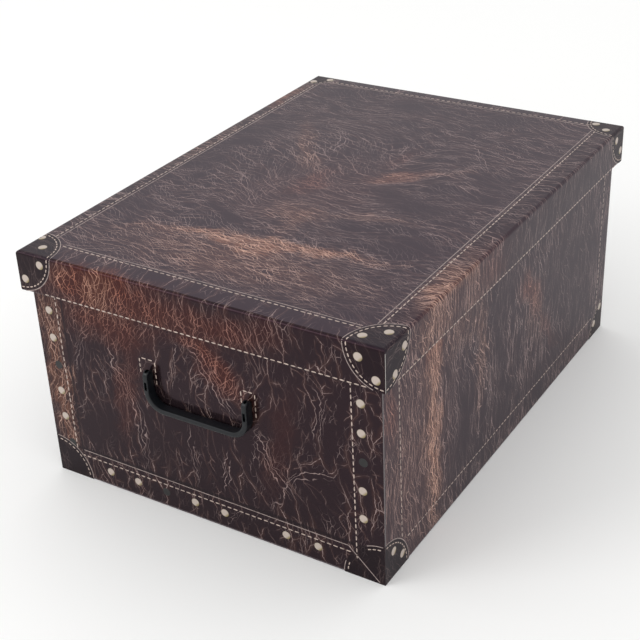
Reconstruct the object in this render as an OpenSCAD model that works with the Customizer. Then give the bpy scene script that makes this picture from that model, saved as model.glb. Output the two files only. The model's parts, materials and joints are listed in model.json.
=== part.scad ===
// Storage box of folded printed board with a lift-off lid and a swinging handle at each end.
// Millimetres, Z up, origin under the middle of the base. The ends with handles face -Y and +Y.

/* [Board] */
// Thickness of the board that the tray and the lid are folded from
board_t = 2; // [1.6:0.1:2.6]
// Outside radius of a fold
fold_r = 1.6; // [0.5:0.1:1.6]
// Gap left beside a loose folded layer
fit_gap = 0.5; // [0.2:0.1:1]

/* [Lid] */
// Width of the lid, across the long sides
lid_w = 370; // [320:1:420]
// Length of the lid, from handle end to handle end
lid_l = 510; // [440:1:580]
// Depth of the lid, from its top face to the lower edge of its skirt
lid_depth = 39; // [25:1:60]
// Gap between a long wall of the tray and the skirt
side_gap = 3; // [0.5:0.1:5]
// Gap between an end wall of the tray and the skirt
end_gap = 1; // [0.5:0.1:5]
// Length of the corner flaps inside the end skirts
lid_flap_l = 60; // [30:1:90]

/* [Tray] */
// Height of the closed box
box_h = 236; // [190:1:300]
// Distance between the end of a corner flap and the handle anchor's plate
flap_stop = 16.5; // [2:0.5:40]
// Width of a lock tab that holds an end wall's return in the base
lock_w = 40; // [20:1:60]
// Distance between the middles of the two lock tabs of one end wall
lock_span = 190; // [120:1:240]
// Gap around a lock tab in its slot
lock_gap = 0.3; // [0.2:0.1:0.6]
// Height that a lock tab stops short of the floor
tab_lift = 0.2; // [0.1:0.05:0.5]

/* [Handle] */
// Distance between the middles of the two arms
arm_span = 103; // [90:1:115]
// Width of an arm, along the wall
arm_w = 5; // [4.8:0.1:7]
// Depth of the handle, out from the wall
arm_d = 9.6; // [8.5:0.1:12]
// Height of the grip bar
grip_h = 5.4; // [4.5:0.1:8]
// Distance from the swing axis down to the underside of the grip
handle_drop = 34; // [28:0.5:45]
// Radius of the inner corners of the handle
inner_r = 14; // [6:0.5:17]
// Radius of the softened edges under the grip
soft_r = 2; // [0.5:0.1:3]
// Distance from the lower edge of the lid down to the swing axis
axis_drop = 52.5; // [20:0.5:75]
// Gap between the hanging handle and the wall
wall_gap = 0.3; // [0.2:0.1:1]
// Width of the moulded pocket in the front of an arm
pocket_w = 2.6; // [1.5:0.1:3]
// Height of the moulded pocket
pocket_h = 8; // [4:0.5:10]
// Depth of the moulded pocket
pocket_d = 3; // [1:0.1:4]
// Distance from the swing axis down to the middle of the pocket
pocket_drop = 9; // [8.5:0.1:12]

/* [Handle anchor] */
// Width of the neck that passes through the wall
neck_w = 2; // [1.6:0.1:2.2]
// Height of the neck
neck_h = 4.2; // [3:0.1:4.8]
// Radius of the knuckle inside the arm's fork
knuckle_r = 2.6; // [2.2:0.1:3]
// Diameter of the cross bar that the arm swings on
bar_d = 2.6; // [2:0.1:3]
// Radial clearance of the cross bar in the arm
bar_gap = 0.05; // [0.02:0.01:0.1]
// Clearance beside the knuckle in the fork
fork_gap = 0.2; // [0.1:0.05:0.3]
// Clearance around the neck in the wall's slot
slot_gap = 0.2; // [0.1:0.05:0.5]
// Width of the plate between the layers of the end wall
plate_w = 16; // [10:0.5:24]
// Height of the plate
plate_h = 18; // [10:0.5:26]
// Play of the plate between the layers
plate_gap = 0.1; // [0.05:0.05:0.3]

/* [Hidden] */
$fn = 64;
// Amount by which a cutter runs past the face that it cuts
over = 1;
// Number of board layers in an end wall or an end skirt, and in a side skirt
end_layers = 3;
side_layers = 2;

lid_hw = lid_w / 2;
lid_hl = lid_l / 2;
tray_hw = lid_hw - side_layers * board_t - side_gap;
tray_hl = lid_hl - end_layers * board_t - end_gap;
tray_h = box_h - board_t;
skirt_z = box_h - lid_depth;

wall_y = arm_d / 2 + wall_gap;
axis_y = -tray_hl - wall_y;
axis_h = skirt_z - axis_drop;
flap_end = arm_span / 2 + plate_w / 2 + flap_stop;
lid_flap_end = lid_hw - board_t - lid_flap_l;
outer_r = min(inner_r + grip_h, arm_span / 2);
plate_t = board_t - plate_gap;

printed = "#3d3032";
plain = "#b7b3ae";
plastic = "#202227";

// Block between two opposite corners
module slab(lo, hi) {
    translate(lo) cube(hi - lo);
}

// Cutter that rounds an edge along X. The edge lies at the origin, with the board on its +Y and +Z side
module fold_cut_x(len) {
    difference() {
        slab([-len / 2, -over, -over], [len / 2, fold_r, fold_r]);
        translate([0, fold_r, fold_r]) rotate([0, 90, 0])
            cylinder(r = fold_r, h = len + over, center = true);
    }
}

// The same cutter along Y, with the board on the edge's +X and +Z side
module fold_cut_y(len) {
    mirror([1, -1, 0]) fold_cut_x(len);
}

// A copy of the children on the back, or on the left, of those on the front or the right
module at_back() {
    mirror([0, 1, 0]) children();
}

module at_left() {
    mirror([1, 0, 0]) children();
}

// Flat sheet with a fold along each of its four lower edges, underside at z = 0
module folded_sheet(half_w, half_l) {
    difference() {
        slab([-half_w, -half_l, 0], [half_w, half_l, board_t]);
        for (side = [0, 1]) {
            mirror([0, side, 0]) translate([0, -half_l, 0]) fold_cut_x(2 * half_w + 2 * over);
            mirror([side, 0, 0]) translate([-half_w, 0, 0]) fold_cut_y(2 * half_l + 2 * over);
        }
    }
}

// Upright sheet along an end, with a fold along its lower outer edge
module end_sheet(half_w, half_l, height) {
    difference() {
        slab([-half_w, -half_l, 0], [half_w, -half_l + board_t, height]);
        translate([0, -half_l, 0]) fold_cut_x(2 * half_w + 2 * over);
    }
}

// Inner layer of an end, with the web that joins it to the outer layer at its lower edge
module end_return(half_w, half_l, height) {
    inner_y = -half_l + end_layers * board_t;
    difference() {
        union() {
            slab([-half_w, inner_y - board_t, 0], [half_w, inner_y, height]);
            slab([-half_w, -half_l + board_t, 0], [half_w, inner_y - board_t, board_t]);
        }
        translate([0, inner_y, 0]) mirror([0, 1, 0]) fold_cut_x(2 * half_w + 2 * over);
    }
}

// Turns an end that is drawn from its fold at z = 0 upwards into one that hangs from its fold at z = top
module hung_from(top) {
    translate([0, 0, top]) mirror([0, 0, 1]) children();
}

// Flap between the two layers of an end, from the right side wall to free_x
module corner_flap(free_x, half_w, half_l, low, high) {
    slab([free_x, -half_l + board_t, low + fit_gap],
         [half_w - board_t, -half_l + 2 * board_t, high - fit_gap]);
}

// Places the children at each of the two lock tabs of the front end
module at_lock_tabs() {
    for (side = [-1, 1])
        translate([side * lock_span / 2, -tray_hl + (end_layers - 0.5) * board_t, 0]) children();
}

// Tray

module base_panel() {
    color(printed) difference() {
        folded_sheet(tray_hw, tray_hl);
        for (side = [0, 1]) mirror([0, side, 0]) at_lock_tabs()
            translate([0, 0, board_t / 2])
                cube([lock_w + 2 * lock_gap, board_t + 2 * lock_gap, board_t + 2 * over], center = true);
    }
}

module right_side_wall() {
    color(printed)
        slab([tray_hw - board_t, -tray_hl + board_t, board_t], [tray_hw, tray_hl - board_t, tray_h]);
}

module front_end_wall() {
    color(printed) difference() {
        hung_from(tray_h) end_sheet(tray_hw, tray_hl, tray_h - board_t);
        at_arms() slab([-neck_w / 2 - slot_gap, 0, -neck_h / 2 - slot_gap],
                       [neck_w / 2 + slot_gap, wall_y + board_t + over, neck_h / 2 + slot_gap]);
    }
}

module front_wall_return() {
    color(printed) {
        hung_from(tray_h)
            end_return(tray_hw - board_t - fit_gap, tray_hl, tray_h - board_t);
        at_lock_tabs() slab([-lock_w / 2, -board_t / 2, tab_lift], [lock_w / 2, board_t / 2, board_t]);
    }
}

module front_right_corner_flap() {
    color(plain) corner_flap(flap_end, tray_hw, tray_hl, board_t, tray_h - board_t);
}

// Lid

module lid_top_panel() {
    color(printed) hung_from(box_h) folded_sheet(lid_hw, lid_hl);
}

module lid_right_skirt() {
    color(printed) difference() {
        slab([lid_hw - board_t, -lid_hl + board_t, skirt_z], [lid_hw, lid_hl - board_t, tray_h]);
        translate([lid_hw, 0, skirt_z]) mirror([1, 0, 0]) fold_cut_y(lid_l);
    }
}

module lid_right_skirt_return() {
    inner_x = lid_hw - side_layers * board_t;
    half_l = lid_hl - end_layers * board_t - fit_gap;
    color(printed) difference() {
        slab([inner_x, -half_l, skirt_z], [lid_hw - board_t, half_l, tray_h]);
        translate([inner_x, 0, skirt_z]) fold_cut_y(lid_l);
    }
}

module lid_front_skirt() {
    color(printed) translate([0, 0, skirt_z]) end_sheet(lid_hw, lid_hl, tray_h - skirt_z);
}

module lid_front_skirt_return() {
    color(printed) translate([0, 0, skirt_z])
        end_return(lid_hw - board_t - fit_gap, lid_hl, tray_h - skirt_z);
}

module lid_front_right_flap() {
    color(plain) corner_flap(lid_flap_end, lid_hw, lid_hl, skirt_z + board_t, tray_h);
}

// Handle, drawn with its swing axis along X through the origin and the wall on its +Y side

// Places the children on the swing axis at the middle of each arm of the front handle
module at_arms() {
    for (side = [-1, 1]) translate([side * arm_span / 2, axis_y, axis_h]) children();
}

// Block that hangs from top to bottom, with round lower corners
module round_bottom(width, bottom, top, radius) {
    translate([-width / 2, bottom + radius]) square([width, top - bottom - radius]);
    translate([-width / 2 + radius, bottom]) square([width - 2 * radius, top - bottom]);
    for (side = [-1, 1]) translate([side * (width / 2 - radius), bottom + radius]) circle(r = radius);
}

module handle_outline() {
    difference() {
        round_bottom(arm_span + arm_w, -handle_drop, arm_d / 2, outer_r);
        round_bottom(arm_span - arm_w, -handle_drop + grip_h, arm_d / 2 + over, inner_r);
    }
}

module handle_side() {
    circle(d = arm_d);
    round_bottom(arm_d, -handle_drop, 0, soft_r);
}

module handle_arm_cuts() {
    reach = knuckle_r + fork_gap;
    half = neck_w / 2 + fork_gap;
    slab([-half, -reach, -reach], [half, arm_d, arm_d]);
    rotate([0, 90, 0]) cylinder(d = bar_d + 2 * bar_gap, h = arm_w + 2 * over, center = true);
    slab([-pocket_w / 2, -arm_d / 2 - over, -pocket_drop - pocket_h / 2],
         [pocket_w / 2, -arm_d / 2 + pocket_d, -pocket_drop + pocket_h / 2]);
}

module front_handle() {
    color(plastic) translate([0, axis_y, axis_h]) difference() {
        intersection() {
            rotate([90, 0, 0]) linear_extrude(height = arm_d, center = true) handle_outline();
            rotate([90, 0, 90]) linear_extrude(height = arm_span + 2 * arm_w, center = true) handle_side();
        }
        for (side = [-1, 1]) translate([side * arm_span / 2, 0, 0]) handle_arm_cuts();
    }
}

module handle_anchor() {
    plate_y = wall_y + board_t;
    color(plastic) {
        rotate([0, 90, 0]) cylinder(d = bar_d, h = arm_w, center = true);
        rotate([0, 90, 0]) cylinder(r = knuckle_r, h = neck_w, center = true);
        slab([-neck_w / 2, 0, -neck_h / 2], [neck_w / 2, plate_y + plate_t, neck_h / 2]);
        slab([-plate_w / 2, plate_y, -plate_h / 2], [plate_w / 2, plate_y + plate_t, plate_h / 2]);
    }
}

module front_right_handle_anchor() {
    translate([arm_span / 2, axis_y, axis_h]) handle_anchor();
}

// One line for each piece

base_panel();
at_left() right_side_wall();  // left_side_wall
right_side_wall();
front_end_wall();
at_back() front_end_wall();  // back_end_wall
front_wall_return();
at_back() front_wall_return();  // back_wall_return
at_left() front_right_corner_flap();  // front_left_corner_flap
front_right_corner_flap();
at_back() at_left() front_right_corner_flap();  // back_left_corner_flap
at_back() front_right_corner_flap();  // back_right_corner_flap
lid_top_panel();
at_left() lid_right_skirt();  // lid_left_skirt
lid_right_skirt();
lid_front_skirt();
at_back() lid_front_skirt();  // lid_back_skirt
at_left() lid_right_skirt_return();  // lid_left_skirt_return
lid_right_skirt_return();
lid_front_skirt_return();
at_back() lid_front_skirt_return();  // lid_back_skirt_return
at_left() lid_front_right_flap();  // lid_front_left_flap
lid_front_right_flap();
at_back() at_left() lid_front_right_flap();  // lid_back_left_flap
at_back() lid_front_right_flap();  // lid_back_right_flap
front_handle();
at_back() front_handle();  // back_handle
at_left() front_right_handle_anchor();  // front_left_handle_anchor
front_right_handle_anchor();
at_back() at_left() front_right_handle_anchor();  // back_left_handle_anchor
at_back() front_right_handle_anchor();  // back_right_handle_anchor
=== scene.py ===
"""Looks of a folded storage box with a printed leather pattern, a lift-off lid and a handle at each end.

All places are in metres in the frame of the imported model: +Z up, the ends with handles face -Y and +Y.
Sizes of the print are written in millimetres and turned to metres with MM.
"""

import json
import math

import bmesh
import bpy
import numpy as np
from bpy.props import FloatProperty, FloatVectorProperty, PointerProperty
from mathutils import Matrix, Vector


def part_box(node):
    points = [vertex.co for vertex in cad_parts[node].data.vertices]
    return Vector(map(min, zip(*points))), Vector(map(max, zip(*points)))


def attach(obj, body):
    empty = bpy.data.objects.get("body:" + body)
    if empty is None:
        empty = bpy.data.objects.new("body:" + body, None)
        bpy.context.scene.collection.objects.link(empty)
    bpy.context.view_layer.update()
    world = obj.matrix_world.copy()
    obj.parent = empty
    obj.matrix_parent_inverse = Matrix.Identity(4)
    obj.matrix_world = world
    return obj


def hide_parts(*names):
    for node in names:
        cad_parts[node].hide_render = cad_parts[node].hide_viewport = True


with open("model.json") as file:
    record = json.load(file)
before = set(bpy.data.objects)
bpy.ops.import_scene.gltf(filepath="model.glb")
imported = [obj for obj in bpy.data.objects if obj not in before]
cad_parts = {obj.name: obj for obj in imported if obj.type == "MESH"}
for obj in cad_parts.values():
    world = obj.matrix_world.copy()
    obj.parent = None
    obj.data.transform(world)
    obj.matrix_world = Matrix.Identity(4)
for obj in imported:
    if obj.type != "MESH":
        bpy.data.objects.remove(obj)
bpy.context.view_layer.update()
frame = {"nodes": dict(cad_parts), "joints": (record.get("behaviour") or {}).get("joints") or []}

bl_info = {
    "name": "Printed storage box",
    "version": (1, 0, 0),
    "blender": (4, 5, 0),
    "location": "View3D > Sidebar > Storage box",
    "description": "Dresses a folded storage box with its printed leather, stitching, nails and handles",
    "category": "Object",
}

MM = 0.001

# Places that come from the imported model
LID_LOW, LID_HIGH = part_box("lid_top_panel")
WALL_LOW, WALL_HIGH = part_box("front_end_wall")
HANDLE_LOW, HANDLE_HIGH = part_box("front_handle")
LID_HALF_W = LID_HIGH.x
LID_HALF_L = LID_HIGH.y
LID_TOP = LID_HIGH.z
SKIRT_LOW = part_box("lid_front_skirt")[0].z
BOARD = LID_HIGH.z - LID_LOW.z
TRAY_HALF_W = WALL_HIGH.x
TRAY_HALF_L = -WALL_LOW.y
SWING = {joint["child"]: joint["pos_m"] for joint in frame["joints"] if joint["type"] == "hinge"}

# The print is laid out flat and folded round the box, so a place on the lid is given by how far it lies
# from the middle of the sheet along the paper, through the fold and down the skirt.
FOLD_R = 3.2 * MM
FOLD_ARC = FOLD_R * math.pi / 2
# Length that the paper saves by going round the fold and not through the sharp corner
FOLD_SAVING = 2 * FOLD_R - FOLD_ARC
HEM_R = 1.6 * MM

# Reaches of a corner patch from its corner, in mm: along the end, along the side, down the skirt. A corner
# is given by the signs of its X and Y.
LID_PATCHES = {
    (-1, -1): (38, 39.3, 38),
    (1, -1): (37, 40, 39),
    (1, 1): (36.5, 34.5, 39),
    (-1, 1): (28, 30, 38),
}
# Radii of the quarter discs at the foot of the tray, in mm: left and right on an end, front and back on
# a side
TRAY_END_PATCHES = {-1: 39.5, 1: 40}
TRAY_SIDE_PATCHES = {-1: 41.5, 1: 35}
# Stitched frame on the lid's top, in mm from its middle: left, right, front and back. Outside it the top
# carries the print of the skirts.
FRAME_LEFT, FRAME_RIGHT, FRAME_FRONT, FRAME_BACK = -169.2, 162.5, -227.8, 239.2
# Distance from nail to nail up a strap and along the foot band, in mm, and the places in a row that have
# lost their nail, counted from 0
NAIL_PITCH = 28.3
FOOT_NAIL_PITCH = 32.55
LOST_NAILS = (2, 5)
# Height of the row of stitches over the lower edge of the lid's skirt, in mm
HEM_STITCHES = 1.8
# How black the ink of the corner patches lies over the leather
PATCH_INK = 0.7
# A patch that covers a whole sheet, in mm
WHOLE_SHEET = [(0, 0, 2000, 2000)]


def linear(hex_colour):
    """Scene-linear RGB of an sRGB hex colour."""
    parts = [int(hex_colour[i:i + 2], 16) / 255 for i in (1, 3, 5)]
    return tuple(c / 12.92 if c <= 0.04045 else ((c + 0.055) / 1.055) ** 2.4 for c in parts)


def colour_property(name, description, default):
    """A colour setting whose default is an sRGB hex value."""
    return FloatVectorProperty(name=name, description=description, subtype="COLOR", min=0, max=1,
                               default=linear(default))


def length_property(name, description, default, low, high):
    """A length setting, whose default and limits are given in mm."""
    return FloatProperty(name=name, description=description, subtype="DISTANCE", unit="LENGTH",
                         default=default * MM, min=low * MM, max=high * MM)


class PrintSettings(bpy.types.PropertyGroup):
    """Sizes and colours of the printed leather."""

    ground: colour_property("Ground", "Darkest tone of the printed leather", "#191114")
    ground_brown: colour_property("Brown ground", "Brown tone beside the cracks", "#30201d")
    rust: colour_property("Rust ground", "Tone under the red-orange cracks", "#371409")
    tan: colour_property("Tan ground", "Tone under the worn tan streaks", "#6e4836")
    crack: colour_property("Cracks", "Fine cracks on dark leather", "#a08c88")
    rust_crack: colour_property("Rust cracks", "Fine cracks in the red-orange places", "#9e6450")
    tan_crack: colour_property("Tan cracks", "Fine cracks in the worn tan places", "#d2a993")
    haze: colour_property("Film tint", "Faint purple cast of the film's reflection", "#f9c6ef")
    end_haze: colour_property("Film tint of the ends", "Cast of the film's reflection on the ends", "#f9c4da")
    patch: colour_property("Corner patches", "Black leather of the corner patches", "#0b0a0c")
    thread: colour_property("Thread", "Printed stitches", "#bda99e")
    welt: colour_property("Welt line", "Thin line beside the stitches", "#9a8984")
    nail: colour_property("Nails", "Light face of the printed nails", "#b3a59b")
    nail_shade: colour_property("Nail shade", "Olive shade on the lower right of a nail", "#857548")
    hole: colour_property("Nail holes", "Dark hole where a nail seems to be lost", "#0c090a")
    board: colour_property("Board", "Unprinted grey board", "#c4c0ba")
    cut: colour_property("Cut edge", "Edge of the board where the die cut through the print", "#5f5a5a")
    pitch: length_property("Stitch pitch", "Distance from stitch to stitch", 6.4, 3, 12)
    patch_pitch: length_property("Patch pitch", "Distance from stitch to stitch on a patch", 5.1, 3, 12)
    stitch: length_property("Stitch length", "Length of one stitch", 4.2, 1, 8)
    stitch_w: length_property("Stitch width", "Width of one stitch", 1.1, 0.4, 2)
    line_w: length_property("Line width", "Width of the thin line beside the stitches", 0.8, 0.3, 2)
    nail_d: length_property("Nail diameter", "Diameter of a printed nail head", 8.4, 4, 14)
    film: length_property("Ink height", "Height of the thickest ink over the film", 0.07, 0.02, 0.3)


class HandleSettings(bpy.types.PropertyGroup):
    """Sizes and colour of the moulded handles."""

    arm_w: length_property("Arm width", "Width of an arm along the wall", 5, 3, 9)
    grip_h: length_property("Grip height", "Height of the grip bar", 5.4, 3, 9)
    inner_r: length_property("Inner corner", "Radius of the inner corners", 14, 4, 20)
    sheen: FloatProperty(name="Sheen", description="Strength of the plastic's reflection", default=0.3, min=0,
                         max=1)
    edge_r: length_property("Edge radius", "Radius of the moulded edges", 0.9, 0.2, 2)
    soft_r: length_property("Grip edge radius", "Radius of the lower edges of the grip", 2, 0.2, 2.5)
    plastic: colour_property("Plastic", "Black moulded plastic", "#0f1216")


class StageSettings(bpy.types.PropertyGroup):
    """Camera, floor and light."""

    lens: FloatProperty(name="Lens", description="Focal length on a 36 mm sensor", subtype="DISTANCE_CAMERA",
                        unit="CAMERA", default=74.173, min=10, max=300)
    azimuth: FloatProperty(name="Azimuth", description="Turn of the view from the front end to the right",
                           subtype="ANGLE", unit="ROTATION", default=math.radians(32.563))
    elevation: FloatProperty(name="Elevation", description="Height of the view above the horizon",
                             subtype="ANGLE", unit="ROTATION", default=math.radians(29.458))
    roll: FloatProperty(name="Roll", description="Turn of the picture round the view direction",
                        subtype="ANGLE", unit="ROTATION", default=math.radians(-2.536))
    place: FloatVectorProperty(name="Camera place", description="Where the camera stands",
                               subtype="TRANSLATION", unit="LENGTH", default=(0.599394, -0.991815, 0.741392))
    floor: colour_property("Floor", "Pale plain floor", "#fafaf9")
    sky: FloatProperty(name="Surrounding light", description="Strength of the even white surroundings",
                       default=1.0, min=0, max=5)
    key: FloatProperty(name="Key light", description="Power of the soft light at the front left",
                       subtype="POWER", unit="POWER", default=14, min=0, max=500)


def add_node(tree, kind, inputs=(), output=0, **settings):
    """Adds a node with its settings. An input is a value to set or another node's socket to link."""
    node = tree.nodes.new(kind)
    for name, value in settings.items():
        setattr(node, name, value)
    for key, value in dict(inputs).items():
        if isinstance(value, bpy.types.NodeSocket):
            tree.links.new(value, node.inputs[key])
        else:
            node.inputs[key].default_value = value
    return node.outputs[output]


def maths(tree, operation, *values):
    """Number worked out from numbers or sockets."""
    return add_node(tree, "ShaderNodeMath", dict(enumerate(values)), operation=operation)


def vectors(tree, operation, *values):
    """Vector worked out from vectors or sockets, or a number where the operation gives one."""
    output = "Value" if operation in ("LENGTH", "DISTANCE", "DOT_PRODUCT") else 0
    return add_node(tree, "ShaderNodeVectorMath", dict(enumerate(values)), output, operation=operation)


def axes(tree, place):
    """The three coordinates of a place."""
    split = tree.nodes.new("ShaderNodeSeparateXYZ")
    tree.links.new(place, split.inputs[0])
    return split.outputs


def local_map(tree, place, u, v, turn, length, width):
    """A place measured from (u, v) along turned axes, in units of length and width. Sizes are in mm."""
    return add_node(tree, "ShaderNodeMapping",
                    {"Vector": place, "Location": (u * MM, v * MM, 0), "Rotation": (0, 0, math.radians(turn)),
                     "Scale": (length * MM, width * MM, 1)}, vector_type="TEXTURE")


def noise(tree, place, size, detail, output=0, **settings):
    """Noise whose waves have the given size."""
    return add_node(tree, "ShaderNodeTexNoise", {"Vector": place, "Scale": 1 / size, "Detail": detail},
                    output, **settings)


def new_material(name):
    """A material whose node tree holds only its output. Returns the material, the tree and the output."""
    material = bpy.data.materials.new(name)
    material.use_nodes = True
    tree = material.node_tree
    tree.nodes.clear()
    return material, tree, tree.nodes.new("ShaderNodeOutputMaterial")


def shaded(material, tree, out, inputs):
    """Ends a material with its shader and returns it."""
    tree.links.new(add_node(tree, "ShaderNodeBsdfPrincipled", inputs), out.inputs["Surface"])
    return material


def rgba(colour):
    """A colour with full alpha."""
    return (*colour, 1.0)


def sheet_map(tree):
    """Place on the flat sheet from the piece's own UV map, which is in metres."""
    return add_node(tree, "ShaderNodeUVMap", uv_map="Sheet")


def object_place(tree):
    """Place in the Object coordinates, which are in metres."""
    return add_node(tree, "ShaderNodeTexCoord", output="Object")


def object_axis(tree, output, axis, factor=1.0):
    """One axis of the Object coordinates or of the face's direction, the Normal output, times a factor."""
    place = add_node(tree, "ShaderNodeTexCoord", output=output)
    return maths(tree, "MULTIPLY", axes(tree, place)[axis], float(factor))


def wall_map(across, turned):
    """Place on an upright wall as (along the wall, height), from Object coordinates.

    across is the axis that runs along the wall. turned is -1 for the wall behind, which repeats the print
    of the one in front turned half round.
    """
    def place(tree):
        along = object_axis(tree, "Object", across, turned)
        return add_node(tree, "ShaderNodeCombineXYZ", {0: along, 1: object_axis(tree, "Object", 2)})
    return place


def crumple(tree, sheet, size, reach, seed, detail=1.0):
    """The sheet's coordinates pushed sideways by noise: waves of the given size, moved by up to reach."""
    place = vectors(tree, "ADD", sheet, (seed * 0.37, seed * 0.61, 0))
    push = noise(tree, place, size, detail, "Color", noise_dimensions="2D")
    push = vectors(tree, "SUBTRACT", push, (0.5, 0.5, 0.5))
    push = vectors(tree, "MULTIPLY", push, (2 * reach, 2 * reach, 0))
    return vectors(tree, "ADD", sheet, push)


def twist(tree, sheet, u, v, reach, turn):
    """The sheet's coordinates turned about a point, less and less as far as reach. Sizes are in mm."""
    centre = (u * MM, v * MM, 0)
    away = vectors(tree, "DISTANCE", sheet, centre)
    angle = step(tree, away, reach * MM, 0.0, 0.0, math.radians(turn))
    return add_node(tree, "ShaderNodeVectorRotate", {"Vector": sheet, "Center": centre, "Angle": angle},
                    rotation_type="Z_AXIS")


def step(tree, value, low, high, to_low=0.0, to_high=1.0):
    """Smooth change from to_low at low to to_high at high."""
    return add_node(tree, "ShaderNodeMapRange",
                    {"Value": value, "From Min": low, "From Max": high, "To Min": to_low, "To Max": to_high},
                    interpolation_type="SMOOTHSTEP")


def merge(tree, values, operation="ADD"):
    """Several values joined two at a time by one operation."""
    total = values[0]
    for value in values[1:]:
        total = maths(tree, operation, total, value)
    return total


def oval(tree, place, u, v, half_u, half_v, turn=0):
    """Distance from the middle of an oval, which is 1 on its outline. All sizes are in mm."""
    return vectors(tree, "LENGTH", local_map(tree, place, u, v, turn, half_u, half_v))


def stains(tree, place, spots):
    """Sum of soft oval spots. A spot is (u, v, half length, half width, turn in degrees, strength), in mm."""
    total = 0.0
    for spot in spots:
        found = step(tree, oval(tree, place, *spot[:5]), 1.15, 0.15, 0.0, spot[5])
        total = merge(tree, [found, total])
    return maths(tree, "MINIMUM", total, 1.0)


def patchy(tree, sheet, along, across, turn, low, high, seed, floor=0.0):
    """Cloud of noise, along mm long and across mm wide, from floor below low to 1 above high."""
    place = local_map(tree, sheet, seed * 83, seed * 29, turn, along, across)
    return step(tree, noise(tree, place, 1.0, 2.0, noise_dimensions="2D"), low, high, floor)


def crack_net(tree, crumpled, along, across, turn, seed):
    """Distance to the nearest crack in mm and how far the crack runs the net's own way, 0 to 1.

    The cracks are the borders of cells, along mm long and across mm wide, round points scattered on the
    stretched sheet. A border stands square to the line from the nearest point to the second nearest, at its
    middle, and the distance is turned back to mm by the stretch in that direction.
    """
    place = local_map(tree, crumpled, seed * 53, seed * 17, turn, along, across)
    near, second = [add_node(tree, "ShaderNodeTexVoronoi", {"Vector": place, "Scale": 1.0}, output=2,
                             feature=feature, voronoi_dimensions="2D") for feature in ("F1", "F2")]
    middle = vectors(tree, "MULTIPLY", vectors(tree, "ADD", near, second), (0.5, 0.5, 0.5))
    offset = vectors(tree, "SUBTRACT", middle, place)
    square = vectors(tree, "MULTIPLY", vectors(tree, "SUBTRACT", second, near), (1, 1, 0))
    square = vectors(tree, "NORMALIZE", square)
    real = vectors(tree, "MULTIPLY", square, (1 / along, 1 / across, 0))
    stretch = vectors(tree, "LENGTH", real)
    away = maths(tree, "DIVIDE", vectors(tree, "DOT_PRODUCT", offset, square), stretch)
    own_way = maths(tree, "DIVIDE", axes(tree, real)[1], stretch)
    return away, maths(tree, "ABSOLUTE", own_way)


# Half the distance between two long cracks of a bundle, and how long and how wide their waves are, in mm
BUNDLE_GAP = 2.1
STRAY_WAVE = 22
STRAY_REACH = 16.0


def bundles(tree, crumpled, spots):
    """Long cracks that run side by side: the place across the bundle, folded to and fro, is 0 at each crack.

    A bundle is (u, v, half length, half width, turn in degrees, strength), in mm.
    """
    total = 0.0
    for u, v, half_u, half_v, turn, strength in spots:
        local = local_map(tree, crumpled, u, v, turn, 1, 1)
        stray = noise(tree, local, STRAY_WAVE, 2.0, noise_dimensions="2D")
        across = maths(tree, "MULTIPLY_ADD", stray, STRAY_REACH, axes(tree, local)[1])
        away = maths(tree, "PINGPONG", across, BUNDLE_GAP)
        inside = step(tree, oval(tree, crumpled, u, v, half_u, half_v, turn), 1.0, 0.5, 0.0, strength)
        bundle = merge(tree, [step(tree, away, 0.36, 0.08), inside], "MULTIPLY")
        total = merge(tree, [bundle, total], "MAXIMUM")
    return total


def mix(tree, share, first, second):
    """Colour between first, at 0, and second, at 1."""
    return add_node(tree, "ShaderNodeMix", {"Factor": share, 6: first, 7: second}, output=2, data_type="RGBA")


# Nets of cracks: length and width of a cell in mm, turn from the hide's own direction in degrees, half width
# of a crack in mm, strength, and the width in mm and noise levels of the patches that the net shows in
END_NETS = [
    (42, 14, 0, 0.34, 0.9, 26, 0.46, 0.6),
    (20, 8, 12, 0.28, 0.75, 16, 0.48, 0.64),
    (9, 4, -14, 0.24, 0.6, 12, 0.5, 0.7),
]
TOP_NETS = [
    (64, 9, 0, 0.34, 0.8, 26, 0.38, 0.56),
    (34, 6, 26, 0.3, 0.65, 18, 0.38, 0.58),
    (17, 3.2, -22, 0.26, 0.55, 14, 0.34, 0.6),
]
SIDE_NETS = [
    (60, 8, 0, 0.42, 1.0, 22, 0.42, 0.58),
    (28, 5.5, 16, 0.36, 0.9, 16, 0.42, 0.6),
    (14, 3.2, -16, 0.3, 0.7, 12, 0.42, 0.66),
]


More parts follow.
